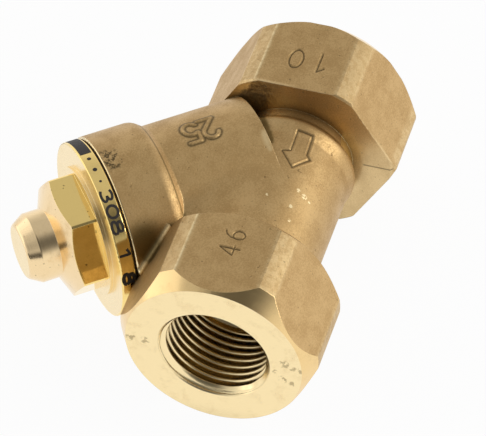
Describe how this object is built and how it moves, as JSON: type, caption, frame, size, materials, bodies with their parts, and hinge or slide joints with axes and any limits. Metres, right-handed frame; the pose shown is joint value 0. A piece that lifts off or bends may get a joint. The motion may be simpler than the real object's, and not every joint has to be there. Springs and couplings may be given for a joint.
{
  "type": "y-pattern non-return valve",
  "caption": "Forged brass Y-pattern spring non-return valve with hexagonal threaded ends, an inclined barrel and a screwed hexagon cap whose nose guides the disc stem.",
  "frame": {"origin": "centre of the inlet end face, on the pipe axis", "axes": "+X along the pipe axis in the direction of flow; the branch leans towards +X and -Y in the XY plane; +Z is normal to the plane of the Y, on the side that carries the flow arrow"},
  "size_m": [0.056, 0.0512, 0.027],
  "materials": {
    "forged_brass": "matt forged brass with fine grain; end faces and chamfers turned bright",
    "turned_brass": "turned and lightly polished brass",
    "gasket_fibre": "dark flat gasket sheet",
    "seal_rubber": "matt black seal rubber",
    "inner_steel": "plain stainless steel",
    "spring_steel": "drawn stainless spring wire"
  },
  "bodies": {
    "housing": {"body": "forged_brass", "cap": "turned_brass", "cap_gasket": "gasket_fibre", "closing_spring": "spring_steel"},
    "disc_assembly": {"valve_disc": "turned_brass", "seat_seal": "seal_rubber", "seal_retainer": "inner_steel", "retaining_screw": "inner_steel"}
  },
  "joints": [
    {"name": "disc_lift", "type": "slide", "parent": "housing", "child": "disc_assembly", "axis": [0.6361, -0.7716, 0], "range_m": [0, 0.0055], "stiffness_N_per_m": 60, "springref_m": -0.003, "deforming": ["closing_spring"]}
  ]
}
